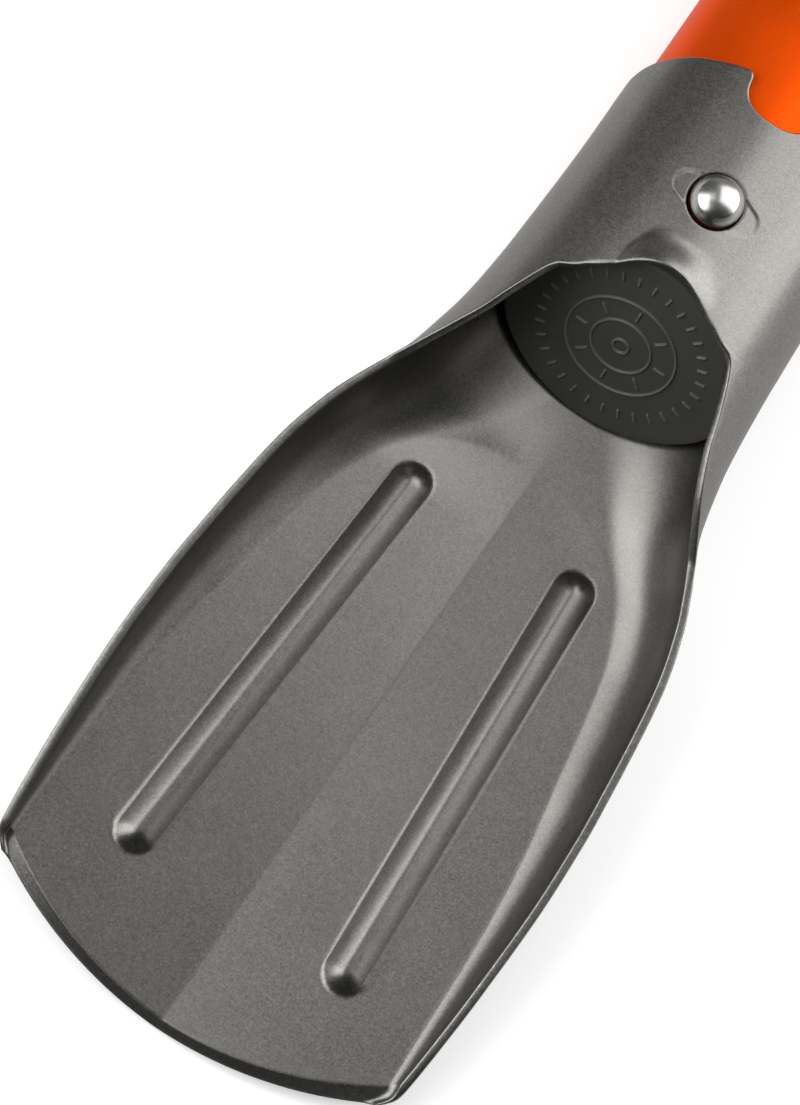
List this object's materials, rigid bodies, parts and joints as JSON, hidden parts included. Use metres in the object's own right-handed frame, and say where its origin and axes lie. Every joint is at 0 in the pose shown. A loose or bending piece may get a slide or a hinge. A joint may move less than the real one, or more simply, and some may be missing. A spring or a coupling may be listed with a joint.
{
  "type": "camp shovel",
  "caption": "Pocket camp shovel: pressed scoop with stiffening ribs and an oval neck, and a telescoping oval storage handle locked by a domed snap button.",
  "frame": {"origin": "under the middle of the extended shovel, on the plane its back lies on", "axes": "+X across the blade, +Y from the digging tip to the handle's butt, +Z out of the blade's open front"},
  "size_m": [0.0764, 0.254, 0.0371],
  "materials": {
    "shell_metal": "bead-blasted and hard-anodised dark grey",
    "handle_metal": "satin orange anodised",
    "black_plastic": "matt moulded",
    "seal_rubber": "smooth",
    "polished_steel": "polished, lightly scuffed",
    "spring_steel": "rolled strip"
  },
  "bodies": {
    "blade": {"blade_shell": "shell_metal"},
    "handle": {"handle_tube": "handle_metal", "end_cap": "black_plastic", "spring_band": "spring_steel"},
    "lid": {"storage_lid": "black_plastic", "lid_seal": "seal_rubber"},
    "button": {"snap_button": "polished_steel"}
  },
  "joints": [
    {"name": "handle_slide", "type": "slide", "parent": "blade", "child": "handle", "axis": [0, 1, 0], "range_m": [-0.076, 0], "deforming": ["snap_button"]},
    {"name": "button_press", "type": "slide", "parent": "handle", "child": "button", "axis": [0, 0, -1], "range_m": [0, 0.0042], "stiffness_N_per_m": 200, "springref_m": -0.01, "deforming": ["spring_band"]},
    {"name": "lid_pull", "type": "slide", "parent": "handle", "child": "lid", "axis": [0, -1, 0], "range_m": [0, 0.024]}
  ]
}
